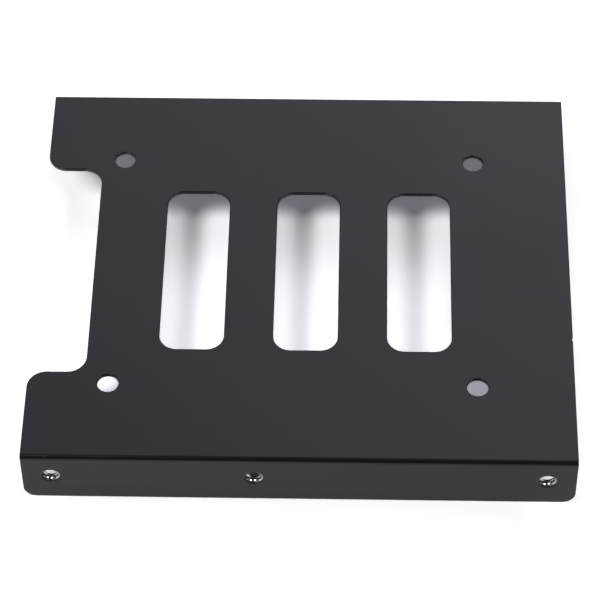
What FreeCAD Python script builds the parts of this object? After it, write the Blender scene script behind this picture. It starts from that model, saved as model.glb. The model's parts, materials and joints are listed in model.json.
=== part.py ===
import FreeCAD, Part
import math
import os

# Adapter bracket that holds a 2.5-inch drive in a 3.5-inch bay, punched and folded from one steel sheet.
# Millimetres. X runs along the plate and both folds, and Z is up. The bracket stands on the feet of its two
# flanges, with the origin on that surface, under the middle of its box.

# Sheet, folds, and the rounding that punching leaves on the outer side of a cut edge
SHEET = 0.8
FOLD_RADIUS = 1.0
ROLLOVER = 0.2

# Folded size
LENGTH = 113.6
WIDTH = 100.2
HEIGHT = 13.6
FLANGE_CORNER = 2.8

# Screw holes of the 2.5-inch drive, in the plate
DRIVE_PITCH_X = 76.60
DRIVE_PITCH_Y = 61.72
DRIVE_MIDDLE_X = -1.67
DRIVE_HOLE = 4.4

# Long slots in the plate
SLOT_COUNT = 3
SLOT_WIDTH = 13.5
SLOT_LENGTH = 43.4
SLOT_PITCH = 23.9
SLOT_MIDDLE_X = 0.75
SLOT_CORNER = 3.7

# Notch for the drive's connector, in the plate's left edge
NOTCH_DEPTH = 12.0
NOTCH_WIDTH = 56.0
NOTCH_CORNER = 4.0

# Tapped holes of the 3.5-inch bay, in both flanges, for a number 6 screw with 32 threads to the inch
BAY_SPAN = 101.60
BAY_MIDDLE = 41.61
BAY_DROP = 6.35
THREAD_MAJOR = 3.505

# Collar drawn inwards around each tapped hole, thinning towards its lip, with a curved entry on the outside
COLLAR_REACH = 1.0
COLLAR_ROOT = 0.8
COLLAR_LIP = 0.4
ENTRY_CURVE = 0.45

# Shallow nick left by the shear in the plate's right edge
NICK_Y = -18.0
NICK_DEPTH = 0.25
NICK_RADIUS = 0.8

# Small raised bead on the near fold, some way round it from the flange's face
BEAD_X = -51.7
BEAD_TURN = 52.0
BEAD_RADIUS = 0.35
BEAD_RISE = 0.12

# Reach of a cutter that goes right through, and the gap under which two points are one
THROUGH = 4 * HEIGHT
TOUCH = 1e-6

NODE = "bracket"
ORIGIN = FreeCAD.Vector(0, 0, 0)
AXIS_X = FreeCAD.Vector(1, 0, 0)
AXIS_Y = FreeCAD.Vector(0, 1, 0)
AXIS_Z = FreeCAD.Vector(0, 0, 1)


def rounded_outline(corners):
    """Closed wire through (point, radius) corners, each rounded by a tangent arc of its own radius."""
    points = [point for point, radius in corners]
    arcs = []
    for index, (corner, radius) in enumerate(corners):
        back = (points[index - 1] - corner).normalize()
        ahead = (points[(index + 1) % len(points)] - corner).normalize()
        half_angle = back.getAngle(ahead) / 2
        run = radius / math.tan(half_angle)
        crown = (back + ahead).normalize() * (radius / math.sin(half_angle) - radius)
        arcs.append((corner + back * run, corner + crown, corner + ahead * run))
    edges = []
    for index, (start, crown, end) in enumerate(arcs):
        if not start.isEqual(end, TOUCH):
            edges.append(Part.Arc(start, crown, end).toShape())
        following = arcs[(index + 1) % len(arcs)][0]
        edges.append(Part.LineSegment(end, following).toShape())
    return Part.Wire(edges)


def outline_face(corners, along_u, along_v):
    """Face of a rounded outline whose (u, v, radius) corners lie in the plane of two axes."""
    return Part.Face(rounded_outline([(along_u * u + along_v * v, radius) for u, v, radius in corners]))


def prism(corners, along_u, along_v, depth):
    """Solid of a rounded outline, reaching half its depth to each side of the outline's plane."""
    normal = along_u.cross(along_v)
    face = outline_face(corners, along_u, along_v)
    face.translate(normal * (-depth / 2))
    return face.extrude(normal * depth)


def rectangle(middle_u, middle_v, size_u, size_v, radius):
    """Corners of a rectangle with equal roundings."""
    signs = [(-1, -1), (1, -1), (1, 1), (-1, 1)]
    return [(middle_u + u * size_u / 2, middle_v + v * size_v / 2, radius) for u, v in signs]


def folded_sheet():
    """The sheet as a channel: a plate on top with a flange folded down along each long edge."""
    inner = WIDTH / 2 - SHEET
    section = [
        (-WIDTH / 2, 0, 0),
        (-WIDTH / 2, HEIGHT, FOLD_RADIUS),
        (WIDTH / 2, HEIGHT, FOLD_RADIUS),
        (WIDTH / 2, 0, 0),
        (inner, 0, 0),
        (inner, HEIGHT - SHEET, FOLD_RADIUS - SHEET),
        (-inner, HEIGHT - SHEET, FOLD_RADIUS - SHEET),
        (-inner, 0, 0),
    ]
    return prism(section, AXIS_Y, AXIS_Z, LENGTH)


def flange_outline():
    """Side outline that both flanges share: square at the folds, rounded at the two lower corners."""
    end = LENGTH / 2
    corners = [(-end, 0, FLANGE_CORNER), (end, 0, FLANGE_CORNER), (end, HEIGHT, 0), (-end, HEIGHT, 0)]
    return prism(corners, AXIS_X, AXIS_Z, 2 * WIDTH)


def connector_notch():
    """Cutter of the notch, with rounded inner corners and its mouth's corners rounded the other way."""
    edge = -LENGTH / 2
    floor = edge + NOTCH_DEPTH
    side = NOTCH_WIDTH / 2
    mouth = side + 2 * NOTCH_CORNER
    outside = edge - NOTCH_CORNER
    corners = [
        (outside, -mouth, 0),
        (edge, -mouth, 0),
        (edge, -side, NOTCH_CORNER),
        (floor, -side, NOTCH_CORNER),
        (floor, side, NOTCH_CORNER),
        (edge, side, NOTCH_CORNER),
        (edge, mouth, 0),
        (outside, mouth, 0),
    ]
    return prism(corners, AXIS_X, AXIS_Y, THROUGH)


def plate_slots():
    """Cutters of the long slots, side by side along the plate."""
    slots = []
    for index in range(SLOT_COUNT):
        middle = SLOT_MIDDLE_X + (index - (SLOT_COUNT - 1) / 2) * SLOT_PITCH
        corners = rectangle(middle, 0, SLOT_WIDTH, SLOT_LENGTH, SLOT_CORNER)
        slots.append(prism(corners, AXIS_X, AXIS_Y, THROUGH))
    return slots


def drive_holes():
    """Cutters of the four screw holes under the drive, each opening out where the punch went in."""
    bore = DRIVE_HOLE / 2
    holes = []
    for x in (DRIVE_MIDDLE_X - DRIVE_PITCH_X / 2, DRIVE_MIDDLE_X + DRIVE_PITCH_X / 2):
        for y in (-DRIVE_PITCH_Y / 2, DRIVE_PITCH_Y / 2):
            mouth_foot = FreeCAD.Vector(x, y, HEIGHT - ROLLOVER)
            holes.append(Part.makeCylinder(bore, THROUGH, FreeCAD.Vector(x, y, 0)))
            holes.append(Part.makeCone(bore, bore + 2 * ROLLOVER, 2 * ROLLOVER, mouth_foot))
    return holes


def on_outer_skin(face):
    """True for the plate's top, the outside of the folds and the outside of the flanges."""
    u_low, u_high, v_low, v_high = face.ParameterRange
    point = face.valueAt((u_low + u_high) / 2, (v_low + v_high) / 2)
    beyond_fold = abs(point.y) - (WIDTH / 2 - FOLD_RADIUS)
    above_fold = point.z - (HEIGHT - FOLD_RADIUS)
    if beyond_fold > 0 and above_fold > 0:
        gap = FOLD_RADIUS - math.hypot(beyond_fold, above_fold)
    else:
        gap = min(WIDTH / 2 - abs(point.y), HEIGHT - point.z)
    return abs(gap) < SHEET / 10


def roll_over_edges(solid):
    """Round the sheet's cut edges on the outer skin, where they belong to one face of that skin only."""
    edges = [edge for face in solid.Faces if on_outer_skin(face) for edge in face.Edges]
    rim = [edge for edge in edges if sum(edge.isSame(other) for other in edges) == 1]
    return solid.makeFillet(ROLLOVER, rim)


def tapped_collar():
    """One hole's collar about Y, from the flange's outside at y = 0 inwards, with its seat's radius."""
    bore = THREAD_MAJOR / 2
    seat = bore + COLLAR_ROOT
    lip = SHEET + COLLAR_REACH
    mouth = FreeCAD.Vector(bore + ENTRY_CURVE, 0, 0)
    throat = FreeCAD.Vector(bore, ENTRY_CURVE, 0)
    entry = Part.BezierCurve()
    entry.setPoles([mouth, FreeCAD.Vector(bore, 0, 0), throat])
    corners = [(bore, lip), (bore + COLLAR_LIP, lip), (seat, SHEET), (seat, 0)]
    wall = Part.makePolygon([throat, *(FreeCAD.Vector(x, y, 0) for x, y in corners), mouth])
    section = Part.Face(Part.Wire([entry.toShape(), *wall.Edges]))
    return section.revolve(ORIGIN, AXIS_Y, 360), seat


def add_collars(solid):
    """Set a collar into each flange at the bay's three screw places."""
    collar, seat = tapped_collar()
    for turn, side in ((0, -1), (180, 1)):
        for x in (-BAY_SPAN / 2, BAY_MIDDLE - BAY_SPAN / 2, BAY_SPAN / 2):
            place = FreeCAD.Vector(x, side * WIDTH / 2, HEIGHT - BAY_DROP)
            fitted = collar.copy()
            fitted.Placement = FreeCAD.Placement(place, FreeCAD.Rotation(AXIS_Z, turn))
            opening = Part.makeCylinder(seat, SHEET, place, AXIS_Y * -side)
            solid = solid.cut(opening).fuse(fitted)
    return solid.removeSplitter()


def edge_nick():
    """Cutter of the nick in the plate's right edge."""
    middle = FreeCAD.Vector(LENGTH / 2 + NICK_RADIUS - NICK_DEPTH, NICK_Y, 0)
    return Part.makeCylinder(NICK_RADIUS, THROUGH, middle)


def fold_bead():
    """Ball that stands a little proud of the near fold."""
    turn = math.radians(BEAD_TURN)
    outward = FreeCAD.Vector(0, -math.cos(turn), math.sin(turn))
    fold_axis = FreeCAD.Vector(BEAD_X, FOLD_RADIUS - WIDTH / 2, HEIGHT - FOLD_RADIUS)
    return Part.makeSphere(BEAD_RADIUS, fold_axis + outward * (FOLD_RADIUS + BEAD_RISE - BEAD_RADIUS))


def bracket():
    """The finished bracket as one solid."""
    sheet = folded_sheet().common(flange_outline())
    sheet = sheet.cut([connector_notch(), *plate_slots()])
    sheet = roll_over_edges(sheet)
    sheet = sheet.cut(drive_holes())
    sheet = add_collars(sheet)
    return sheet.cut(edge_nick()).fuse(fold_bead()).Solids[0]


os.makedirs("parts", exist_ok=True)
part = bracket()
part.exportStep("parts/" + NODE + ".step")
box = part.optimalBoundingBox()
print(NODE, "valid", part.isValid(), "faces", len(part.Faces), "volume", round(part.Volume, 1))
print("box", [round(value, 3) for value in (box.XMin, box.XMax, box.YMin, box.YMax, box.ZMin, box.ZMax)])
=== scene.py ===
import json
import math

import bpy
from mathutils import Matrix, Vector


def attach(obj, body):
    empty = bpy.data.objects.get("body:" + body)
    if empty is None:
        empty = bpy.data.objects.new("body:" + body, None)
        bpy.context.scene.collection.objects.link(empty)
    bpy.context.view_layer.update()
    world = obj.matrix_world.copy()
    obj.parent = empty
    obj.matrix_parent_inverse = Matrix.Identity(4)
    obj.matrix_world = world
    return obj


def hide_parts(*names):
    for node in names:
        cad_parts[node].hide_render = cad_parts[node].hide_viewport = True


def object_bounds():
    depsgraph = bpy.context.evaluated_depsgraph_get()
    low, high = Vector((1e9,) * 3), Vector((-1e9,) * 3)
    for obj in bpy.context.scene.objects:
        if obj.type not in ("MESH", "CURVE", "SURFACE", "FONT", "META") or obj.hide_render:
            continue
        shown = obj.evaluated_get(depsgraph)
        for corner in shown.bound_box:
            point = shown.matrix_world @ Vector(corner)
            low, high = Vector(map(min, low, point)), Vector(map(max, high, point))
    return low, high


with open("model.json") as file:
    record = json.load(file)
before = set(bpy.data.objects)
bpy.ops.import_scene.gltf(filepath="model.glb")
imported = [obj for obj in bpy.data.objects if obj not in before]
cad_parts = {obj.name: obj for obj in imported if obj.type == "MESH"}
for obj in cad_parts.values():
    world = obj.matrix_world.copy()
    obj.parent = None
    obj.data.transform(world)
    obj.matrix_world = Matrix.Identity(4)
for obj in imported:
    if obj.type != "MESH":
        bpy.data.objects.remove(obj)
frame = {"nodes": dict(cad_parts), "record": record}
cad_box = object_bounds()

MM = 0.001

# Sheet. Points closer than WELD are one, a point within FOLD_GAP of a fold's cylinder is on it, and edges
# sharper than SHARP_EDGE stay sharp. A face is flat when one part of its normal is above FLAT, and broad
# when it is larger than FLAT_AREA.
WELD = 0.001 * MM
FOLD_GAP = 5 * WELD
FOLD_RADIUS = 1.0 * MM
SHARP_EDGE = math.radians(50)
FLAT = 0.999999
FLAT_AREA = 0.5 * MM ** 2

# Thread of the tapped holes, number 6 with 32 turns to the inch: radii and widths of its ridge's section
THREAD_PITCH = 25.4 / 32 * MM
THREAD_ROOT = 1.80 * MM
THREAD_CREST = 1.40 * MM
THREAD_ROOT_WIDTH = 0.94 * THREAD_PITCH
THREAD_CREST_WIDTH = 0.30 * THREAD_PITCH
THREAD_TURNS = 3
THREAD_STEPS = 64
THREAD_SHARP = math.radians(30)

# Depths inwards from the flange's outer face: of the helix's first point, of the ridge's cut start, of its
# full crests, and of its cut end just short of the collar's lip
THREAD_FIRST = 0.15 * MM
THREAD_START = 0.22 * MM
THREAD_FULL = 1.06 * MM
THREAD_END = 1.79 * MM

# Curved entry that leads to the full crests: its radius, how far it sits to one side of the hole, and the
# degrees round its curve at which it has a ring
ENTRY_RADIUS = 1.1 * MM
ENTRY_DRIFT = 0.16 * MM
ENTRY_TURNS = range(80, -1, -10)

# Decimals of a metre to which the places of two screw patterns' holes are one
PLACE_DIGITS = 6

# Noise of a finish's fine relief and of its slow drift, and the part of the drift's range that moves the gloss
RELIEF_NOISE = {"Detail": 2.0, "Roughness": 0.55}
DRIFT_NOISE = {"Detail": 3.0, "Roughness": 0.5}
DRIFT_SPAN = (0.3, 0.7)

# Camera of the photograph
CAMERA_AIM = Vector((-0.59, -8.32, 13.6)) * MM
CAMERA_DISTANCE = 603.77 * MM
CAMERA_AZIMUTH = math.radians(1.789)
CAMERA_ELEVATION = math.radians(51.233)
CAMERA_ROLL = math.radians(-0.754)
CAMERA_SENSOR = 36.0
CAMERA_LENS = 170.97
CAMERA_CLIP = (0.01, 100)

# Two soft lamps of one size: the place of each in metres, and its watts
LAMP_SIZE = 0.17
LAMP_AIM = Vector((0, 0, 0.005))
LEFT_LAMP = (Vector((-0.257, -0.216, 0.497)), 2.06)
RIGHT_LAMP = (Vector((0.325, -0.195, 0.479)), 1.78)

# Paper floor: its tone, the painted light that raises it past white where it is seen under the plate, and
# painted glows that lift it towards white
FLOOR_SIZE = 24.0
PAPER_TONE = (0.95, 0.95, 0.95, 1)
PAPER_PAINTED_LIGHT_UNDER = (1.72, 1.705, 1.78, 1)
GLOW_UNDER = 0.28
GLOW_UNDER_TONE = (0.88, 0.86, 1.0, 1)
GLOW_BESIDE = 0.34
GLOW_BESIDE_TONE = (1, 1, 1, 1)

# Fades on the floor, each a start, an end, the value before and the value after: past the plate's ends, before
# the near flange, under the plate, in two strips of painted light there, and away from the bracket. BACK_MARGIN
# is half the fade at the plate's back edge. AHEAD_LEFT is the painted glow before the flange's left end; its
# right has none.
ENDS_FADE = (-14 * MM, -2 * MM, 0.0, 1.0)
BACK_MARGIN = 4 * MM
FRONT_FADE = (-56 * MM, -47 * MM, 0.12, 1.0)
AHEAD_FADE = (-54 * MM, -50 * MM, 1.0, 0.0)
AHEAD_LEFT = 0.45
UNDER_FADE = (-46 * MM, -24 * MM, 0.0, 1.0)
NEAR_STRIP = (-17 * MM, -11 * MM, 1.0, 0.0)
FAR_STRIP = (23 * MM, 30 * MM, 0.0, 0.46)
AWAY_FADE = (0.0, 0.5, 0.0, 1.0)

# Surround, with fades by the parts of a direction: a window behind and above the bracket, brighter to the
# right, and walls that are palest at the sides
SURROUND_TONE = (0.97, 0.965, 1.0, 1)
WINDOW_LEVEL = 2.36
WINDOW_BACK = (-0.30, 0.70, 0.0, 1.0)
WINDOW_FOOT = (0.25, 0.68, 0.05, 1.0)
WINDOW_HEAD = (0.68, 0.95, 1.0, 0.55)
WINDOW_SLANT = (-0.5, 0.5, 0.35, 1.65)
WINDOW_EDGE = (0.12, 0.45, 1.0, 0.08)
WALL_SIDES = (0.15, 0.60, 0.12, 0.30)
WALL_HEIGHT = (0.3, 0.8, 1.0, 0.2)

# Colour sockets of a Mix node, by their place among its sockets
MIX_FIRST, MIX_SECOND, MIX_RESULT = 6, 7, 2


def make_active(piece):
    """Leave one object selected and active, in object mode."""
    bpy.ops.object.select_all(action="DESELECT")
    piece.select_set(True)
    bpy.context.view_layer.objects.active = piece


def new_object(name, data):
    """New object at the origin of the scene."""
    item = bpy.data.objects.new(name, data)
    bpy.context.scene.collection.objects.link(item)
    return item


def apply_modifier(piece, kind, **settings):
    """Add a modifier with its settings and apply it."""
    modifier = piece.modifiers.new(kind.lower(), kind)
    for name, value in settings.items():
        setattr(modifier, name, value)
    make_active(piece)
    bpy.ops.object.modifier_apply(modifier=modifier.name)


def weld(piece):
    """Merge the points of a piece that lie on each other, and leave it active."""
    make_active(piece)
    bpy.ops.object.mode_set(mode="EDIT")
    bpy.ops.mesh.select_all(action="SELECT")
    bpy.ops.mesh.remove_doubles(threshold=WELD)
    bpy.ops.object.mode_set(mode="OBJECT")


def cut(piece, operation, cutter):
    """Cut one closed piece with another, which is used up."""
    apply_modifier(piece, "BOOLEAN", operation=operation, solver="EXACT", object=cutter)
    bpy.data.objects.remove(cutter)


def feed(tree, socket, value):
    """Link a socket to another node's output, or set its value."""
    if isinstance(value, bpy.types.NodeSocket):
        tree.links.new(value, socket)
    else:
        socket.default_value = value


def add_node(tree, kind, attributes=None, **inputs):
    """Add a shader node, set its attributes, and set or link its inputs by name."""
    node = tree.nodes.new(kind)
    for name, value in (attributes or {}).items():
        setattr(node, name, value)
    for name, value in inputs.items():
        feed(tree, node.inputs[name.replace("_", " ")], value)
    return node


def math_node(tree, operation, first, second=0.0):
    """Output of a Math node on two values or sockets."""
    node = add_node(tree, "ShaderNodeMath", {"operation": operation})
    for socket, value in zip(node.inputs, (first, second)):
        feed(tree, socket, value)
    return node.outputs[0]


def product(tree, *factors):
    """Output of all the factors multiplied together."""
    result = factors[0]
    for factor in factors[1:]:
        result = math_node(tree, "MULTIPLY", result, factor)
    return result


def ramp(tree, value, low, high, out_low=0.0, out_high=1.0):
    """Output that eases from one value to another while the input goes from low to high."""
    node = add_node(
        tree, "ShaderNodeMapRange", {"interpolation_type": "SMOOTHSTEP"},
        Value=value, From_Min=low, From_Max=high, To_Min=out_low, To_Max=out_high,
    )
    return node.outputs["Result"]


def mix_tones(tree, share, first, second):
    """Output that goes from one colour to another as its share goes from 0 to 1."""
    node = add_node(tree, "ShaderNodeMix", {"data_type": "RGBA"}, Factor=share)
    node.inputs[MIX_FIRST].default_value = first
    node.inputs[MIX_SECOND].default_value = second
    return node.outputs[MIX_RESULT]


def add_shaders(tree, first, second):
    """Node that adds the light of two shaders."""
    node = tree.nodes.new("ShaderNodeAddShader")
    for socket, shader in zip(node.inputs, (first, second)):
        tree.links.new(shader.outputs[0], socket)
    return node


def new_material(name):
    """Empty node material, with its output node."""
    material = bpy.data.materials.new(name)
    material.use_nodes = True
    material.node_tree.nodes.clear()
    return material, material.node_tree, material.node_tree.nodes.new("ShaderNodeOutputMaterial")


def surface_grain():
    """Node group of a finish's fine relief and of the slow drift of its tone, from a place on the piece."""
    group = bpy.data.node_groups.new("surface_grain", "ShaderNodeTree")
    group.interface.new_socket("Place", in_out="INPUT", socket_type="NodeSocketVector")
    for name in ("Grain Scale", "Drift Scale"):
        group.interface.new_socket(name, in_out="INPUT", socket_type="NodeSocketFloat")
    for name in ("Relief", "Drift"):
        group.interface.new_socket(name, in_out="OUTPUT", socket_type="NodeSocketFloat")
    source = group.nodes.new("NodeGroupInput")
    result = group.nodes.new("NodeGroupOutput")
    fine = add_node(
        group, "ShaderNodeTexNoise", Vector=source.outputs["Place"], Scale=source.outputs["Grain Scale"],
        **RELIEF_NOISE,
    )
    slow = add_node(
        group, "ShaderNodeTexNoise", Vector=source.outputs["Place"], Scale=source.outputs["Drift Scale"],
        **DRIFT_NOISE,
    )
    group.links.new(fine.outputs["Fac"], result.inputs["Relief"])
    group.links.new(slow.outputs["Fac"], result.inputs["Drift"])
    return group


def finish_material(name, grain, look):
    """Principled material whose tone and gloss drift over the surface, with a fine relief."""
    material, tree, output = new_material(name)
    place = tree.nodes.new("ShaderNodeTexCoord")
    texture = add_node(
        tree, "ShaderNodeGroup", {"node_tree": grain}, Place=place.outputs["Object"],
        Grain_Scale=look["grain_scale"], Drift_Scale=look["drift_scale"],
    )
    drift = texture.outputs["Drift"]
    relief = add_node(
        tree, "ShaderNodeBump", Height=texture.outputs["Relief"], Strength=look["relief_strength"],
        Distance=look["relief_depth"],
    )
    shader = add_node(
        tree, "ShaderNodeBsdfPrincipled", Metallic=look["metallic"],
        Base_Color=mix_tones(tree, drift, look["tone_low"], look["tone_high"]),
        Roughness=ramp(tree, drift, *DRIFT_SPAN, look["rough_low"], look["rough_high"]),
        Specular_IOR_Level=look["gloss"], Specular_Tint=look["gloss_tint"], Normal=relief.outputs["Normal"],
    )
    tree.links.new(shader.outputs["BSDF"], output.inputs["Surface"])
    return material


def black_coat(grain):
    """Smooth satin black coat with a faint orange peel."""
    return finish_material("black_coat", grain, {
        "tone_low": (0.0038, 0.0035, 0.0045, 1),
        "tone_high": (0.0048, 0.0045, 0.0057, 1),
        "metallic": 0.0,
        "gloss": 0.25,
        "gloss_tint": (0.89, 0.88, 1.0, 1),
        "rough_low": 0.19,
        "rough_high": 0.23,
        "grain_scale": 1800.0,
        "drift_scale": 45.0,
        "relief_strength": 0.06,
        "relief_depth": 0.01 * MM,
    })


def bare_thread(grain):
    """Steel bared by the tap."""
    return finish_material("bare_thread", grain, {
        "tone_low": (0.36, 0.36, 0.37, 1),
        "tone_high": (0.48, 0.48, 0.49, 1),
        "metallic": 1.0,
        "gloss": 0.5,
        "gloss_tint": (1, 1, 1, 1),
        "rough_low": 0.14,
        "rough_high": 0.22,
        "grain_scale": 6000.0,
        "drift_scale": 900.0,
        "relief_strength": 0.2,
        "relief_depth": 0.01 * MM,
    })


def true_normals(mesh):
    """Shade flat sides as flat and the outside of the folds as cylinders, whatever their facets are."""
    high = cad_box[1]
    flat_sides = [[] for vertex in mesh.vertices]
    for face in mesh.polygons:
        skin_gap = min(high.y - abs(face.center.y), high.z - face.center.z)
        broad = face.area > FLAT_AREA or skin_gap < WELD
        if broad and max(abs(part) for part in face.normal) > FLAT:
            for index in face.vertices:
                flat_sides[index].append(face.normal.copy())
    normals = [corner.vector.copy() for corner in mesh.corner_normals]
    for face in mesh.polygons:
        for corner in face.loop_indices:
            index = mesh.loops[corner].vertex_index
            place = mesh.vertices[index].co
            axis = Vector((place.x, math.copysign(high.y - FOLD_RADIUS, place.y), high.z - FOLD_RADIUS))
            outward = place - axis
            past_bend = outward.y * place.y > -WELD * high.y and outward.z > -WELD
            if past_bend and abs(outward.length - FOLD_RADIUS) < FOLD_GAP:
                candidates = [outward.normalized()]
            else:
                candidates = flat_sides[index]
            for true in candidates:
                if face.normal.dot(true) > math.cos(SHARP_EDGE):
                    normals[corner] = true
    mesh.normals_split_custom_set(normals)


def coated_sheet(coat):
    """Merged, smoothly shaded copy of the folded sheet, which stands for its node."""
    sheet = new_object("coated_sheet", frame["nodes"]["bracket"].data.copy())
    weld(sheet)
    bpy.ops.object.shade_smooth_by_angle(angle=SHARP_EDGE)
    true_normals(sheet.data)
    sheet.data.materials.clear()
    sheet.data.materials.append(coat)
    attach(sheet, "root")
    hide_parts("bracket")


def tapped_holes():
    """Name, mouth and outward axis of each tapped hole, from the frame's screw patterns."""
    mouths = {}
    for mount in frame["record"]["mounts"]:
        if mount["name"].startswith("bay_"):
            x, y, z = mount["pos_m"]
            half = mount["dims"]["spacing_x_mm"] / 2 * MM
            for end_x in (x - half, x + half):
                hole_x = round(end_x, PLACE_DIGITS)
                mouths[(y, hole_x)] = (Vector((hole_x, y, z)), Vector(mount["axis"]))
    sides = ("near", "far")
    places = ("left", "middle", "right")
    names = [f"thread_{side}_{place}" for side in sides for place in places]
    return [(name, *mouths[key]) for name, key in zip(names, sorted(mouths))]


def entry_funnel():
    """Solid of the open space in a tapped hole's curved entry, from its mouth to the full crests."""
    rings = []
    for turn in ENTRY_TURNS:
        angle = math.radians(turn)
        radius = THREAD_CREST + ENTRY_RADIUS * (1 - math.cos(angle))
        rings.append((radius, THREAD_FULL - ENTRY_RADIUS * math.sin(angle)))
    radius, depth = rings[0]
    bpy.ops.object.select_all(action="DESELECT")
    bpy.ops.mesh.primitive_circle_add(
        vertices=2 * THREAD_STEPS, radius=radius, fill_type="NGON", location=(-ENTRY_DRIFT, 0, depth),
    )
    bpy.ops.object.mode_set(mode="EDIT")
    for next_radius, next_depth in rings[1:]:
        bpy.ops.mesh.extrude_region_move(TRANSFORM_OT_translate={"value": (0, 0, next_depth - depth)})
        scale = next_radius / radius
        bpy.ops.transform.resize(value=(scale, scale, 1), center_override=(-ENTRY_DRIFT, 0, next_depth))
        radius, depth = next_radius, next_depth
    bpy.ops.mesh.select_all(action="SELECT")
    bpy.ops.mesh.normals_make_consistent(inside=False)
    bpy.ops.object.mode_set(mode="OBJECT")
    return bpy.context.object


def thread_ridge():
    """One tapped hole's helical ridge about Z, rising inwards from the flange's outer face at z = 0."""
    bpy.ops.object.select_all(action="DESELECT")
    bpy.ops.mesh.primitive_plane_add(size=1)
    ridge = bpy.context.object
    section = [
        (THREAD_ROOT, -THREAD_ROOT_WIDTH / 2),
        (THREAD_CREST, -THREAD_CREST_WIDTH / 2),
        (THREAD_ROOT, THREAD_ROOT_WIDTH / 2),
        (THREAD_CREST, THREAD_CREST_WIDTH / 2),
    ]
    for vertex, (radius, offset) in zip(ridge.data.vertices, section):
        vertex.co = (0, -radius, offset + THREAD_FIRST)
    bpy.ops.object.mode_set(mode="EDIT")
    bpy.ops.mesh.select_all(action="SELECT")
    bpy.ops.mesh.delete(type="ONLY_FACE")
    bpy.ops.object.mode_set(mode="OBJECT")
    apply_modifier(
        ridge, "SCREW", axis="Z", angle=math.tau, screw_offset=THREAD_PITCH, iterations=THREAD_TURNS,
        steps=THREAD_STEPS, render_steps=THREAD_STEPS,
    )
    bpy.ops.object.mode_set(mode="EDIT")
    bpy.ops.mesh.select_all(action="SELECT")
    bpy.ops.mesh.fill_holes(sides=len(section))
    bpy.ops.mesh.select_all(action="SELECT")
    bpy.ops.mesh.normals_make_consistent(inside=False)
    bpy.ops.object.mode_set(mode="OBJECT")
    bpy.ops.mesh.primitive_cylinder_add(
        vertices=THREAD_STEPS, radius=2 * THREAD_ROOT, depth=THREAD_END - THREAD_START,
        location=(0, 0, (THREAD_START + THREAD_END) / 2),
    )
    cut(ridge, "INTERSECT", bpy.context.object)
    cut(ridge, "DIFFERENCE", entry_funnel())
    weld(ridge)
    bpy.ops.object.shade_smooth_by_angle(angle=THREAD_SHARP)
    return ridge


def threads(steel):
    """A ridge in every tapped hole, each with its own mesh in its own place."""
    ridge = thread_ridge()
    for name, mouth, outward in tapped_holes():
        piece = new_object(name, ridge.data.copy())
        inwards = Vector((0, 0, 1)).rotation_difference(-outward).to_matrix().to_4x4()
        piece.data.transform(Matrix.Translation(mouth) @ inwards)
        piece.data.materials.clear()
        piece.data.materials.append(steel)
        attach(piece, "root")
    bpy.data.objects.remove(ridge)


def paper_floor():
    """White paper that keeps the bracket's shadow, lifted towards white by painted light where it is seen or
    reflected.
    """
    material, tree, output = new_material("paper_floor")
    low, high = cad_box
    place = tree.nodes.new("ShaderNodeTexCoord")
    axes = add_node(tree, "ShaderNodeSeparateXYZ", Vector=place.outputs["Object"])
    x, y = axes.outputs["X"], axes.outputs["Y"]
    path = tree.nodes.new("ShaderNodeLightPath")
    seen = math_node(tree, "MAXIMUM", path.outputs["Is Camera Ray"], path.outputs["Is Glossy Ray"])
    seen = math_node(tree, "MAXIMUM", seen, path.outputs["Is Transmission Ray"])
    past_end = math_node(tree, "SUBTRACT", math_node(tree, "ABSOLUTE", x), high.x)
    past_side = math_node(tree, "SUBTRACT", math_node(tree, "ABSOLUTE", y), high.y)
    behind = ramp(tree, y, high.y - BACK_MARGIN, high.y + BACK_MARGIN)
    in_open = math_node(tree, "MAXIMUM", ramp(tree, past_end, *ENDS_FADE), behind)
    front = ramp(tree, y, *FRONT_FADE)
    covered = math_node(tree, "SUBTRACT", 1.0, in_open)
    under = product(tree, seen, front, covered, ramp(tree, y, *UNDER_FADE))
    strips = math_node(tree, "MAXIMUM", ramp(tree, y, *NEAR_STRIP), ramp(tree, y, *FAR_STRIP))
    ahead = product(tree, ramp(tree, y, *AHEAD_FADE), ramp(tree, x, low.x, high.x, AHEAD_LEFT, 0.0))
    beside = math_node(tree, "MAXIMUM", product(tree, in_open, front), ahead)
    away = ramp(tree, math_node(tree, "MAXIMUM", past_end, past_side), *AWAY_FADE)
    around = math_node(tree, "ADD", product(tree, GLOW_BESIDE, beside), away)
    # Painted light: where it is seen under the plate, the paper's tone goes past white, which lifts the shade
    # there
    paper_with_painted_light = mix_tones(tree, under, PAPER_TONE, PAPER_PAINTED_LIGHT_UNDER)
    paper = add_node(tree, "ShaderNodeBsdfDiffuse", Color=paper_with_painted_light)
    # Painted light: a violet glow on the paper under the plate, strongest in two strips at the slots' ends
    glow_under = add_node(
        tree, "ShaderNodeEmission", Color=GLOW_UNDER_TONE, Strength=product(tree, GLOW_UNDER, under, strips),
    )
    # Painted light: a glow past the plate's ends, behind it, and before the near flange's left end, which lifts
    # the bracket's shadow there
    glow_around = add_node(
        tree, "ShaderNodeEmission", Color=GLOW_BESIDE_TONE, Strength=product(tree, around, seen),
    )
    lit = add_shaders(tree, paper, add_shaders(tree, glow_under, glow_around))
    geometry = tree.nodes.new("ShaderNodeNewGeometry")
    from_below = tree.nodes.new("ShaderNodeBsdfTransparent")
    sides = tree.nodes.new("ShaderNodeMixShader")
    tree.links.new(geometry.outputs["Backfacing"], sides.inputs[0])
    tree.links.new(lit.outputs[0], sides.inputs[1])
    tree.links.new(from_below.outputs[0], sides.inputs[2])
    tree.links.new(sides.outputs[0], output.inputs["Surface"])
    return material


def floor():
    """Wide floor under the flanges' feet."""
    bpy.ops.object.select_all(action="DESELECT")
    bpy.ops.mesh.primitive_plane_add(size=FLOOR_SIZE)
    plane = bpy.context.object
    plane.name = "studio_floor"
    plane.data.materials.append(paper_floor())


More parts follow.
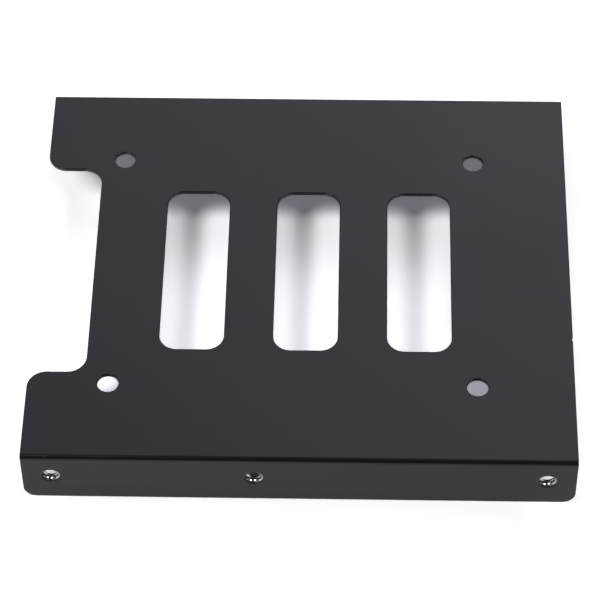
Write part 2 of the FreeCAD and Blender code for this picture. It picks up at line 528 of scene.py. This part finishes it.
def surround():
    """Bright window behind and above the bracket, pale side walls, and little light from the front."""
    world = bpy.data.worlds.new("surround")
    world.use_nodes = True
    bpy.context.scene.world = world
    tree = world.node_tree
    tree.nodes.clear()
    output = tree.nodes.new("ShaderNodeOutputWorld")
    place = tree.nodes.new("ShaderNodeTexCoord")
    axes = add_node(tree, "ShaderNodeSeparateXYZ", Vector=place.outputs["Generated"])
    x, y, z = axes.outputs["X"], axes.outputs["Y"], axes.outputs["Z"]
    sideways = math_node(tree, "ABSOLUTE", x)
    window = product(
        tree, WINDOW_LEVEL, ramp(tree, y, *WINDOW_BACK), ramp(tree, z, *WINDOW_FOOT),
        ramp(tree, z, *WINDOW_HEAD), ramp(tree, x, *WINDOW_SLANT), ramp(tree, sideways, *WINDOW_EDGE),
    )
    walls = product(tree, ramp(tree, sideways, *WALL_SIDES), ramp(tree, z, *WALL_HEIGHT))
    sky = add_node(
        tree, "ShaderNodeBackground", Color=SURROUND_TONE, Strength=math_node(tree, "ADD", window, walls),
    )
    tree.links.new(sky.outputs[0], output.inputs["Surface"])


def softbox(name, place, watts):
    """Square soft lamp that faces the bracket."""
    lamp = bpy.data.lights.new(name, "AREA")
    lamp.shape = "SQUARE"
    lamp.size = LAMP_SIZE
    lamp.energy = watts
    holder = new_object(name, lamp)
    holder.location = place
    holder.rotation_euler = (LAMP_AIM - place).to_track_quat("-Z", "Y").to_euler()


def studio_light():
    """Two soft lamps high up before the bracket, one to its left and one to its right."""
    softbox("left_softbox", *LEFT_LAMP)
    softbox("right_softbox", *RIGHT_LAMP)


def camera():
    """Camera at the photograph's place, with its slight roll."""
    flat = math.cos(CAMERA_ELEVATION)
    back = Vector((
        math.sin(CAMERA_AZIMUTH) * flat, -math.cos(CAMERA_AZIMUTH) * flat, math.sin(CAMERA_ELEVATION),
    ))
    lens = bpy.data.cameras.new("photo_camera")
    lens.sensor_width = CAMERA_SENSOR
    lens.lens = CAMERA_LENS
    lens.clip_start, lens.clip_end = CAMERA_CLIP
    holder = new_object("photo_camera", lens)
    turn = (-back).to_track_quat("-Z", "Y").to_matrix() @ Matrix.Rotation(CAMERA_ROLL, 3, "Z")
    holder.matrix_world = Matrix.Translation(CAMERA_AIM + back * CAMERA_DISTANCE) @ turn.to_4x4()
    bpy.context.scene.camera = holder


grain = surface_grain()
coated_sheet(black_coat(grain))
threads(bare_thread(grain))
floor()
surround()
studio_light()
camera()
bpy.context.scene.view_settings.view_transform = "Standard"
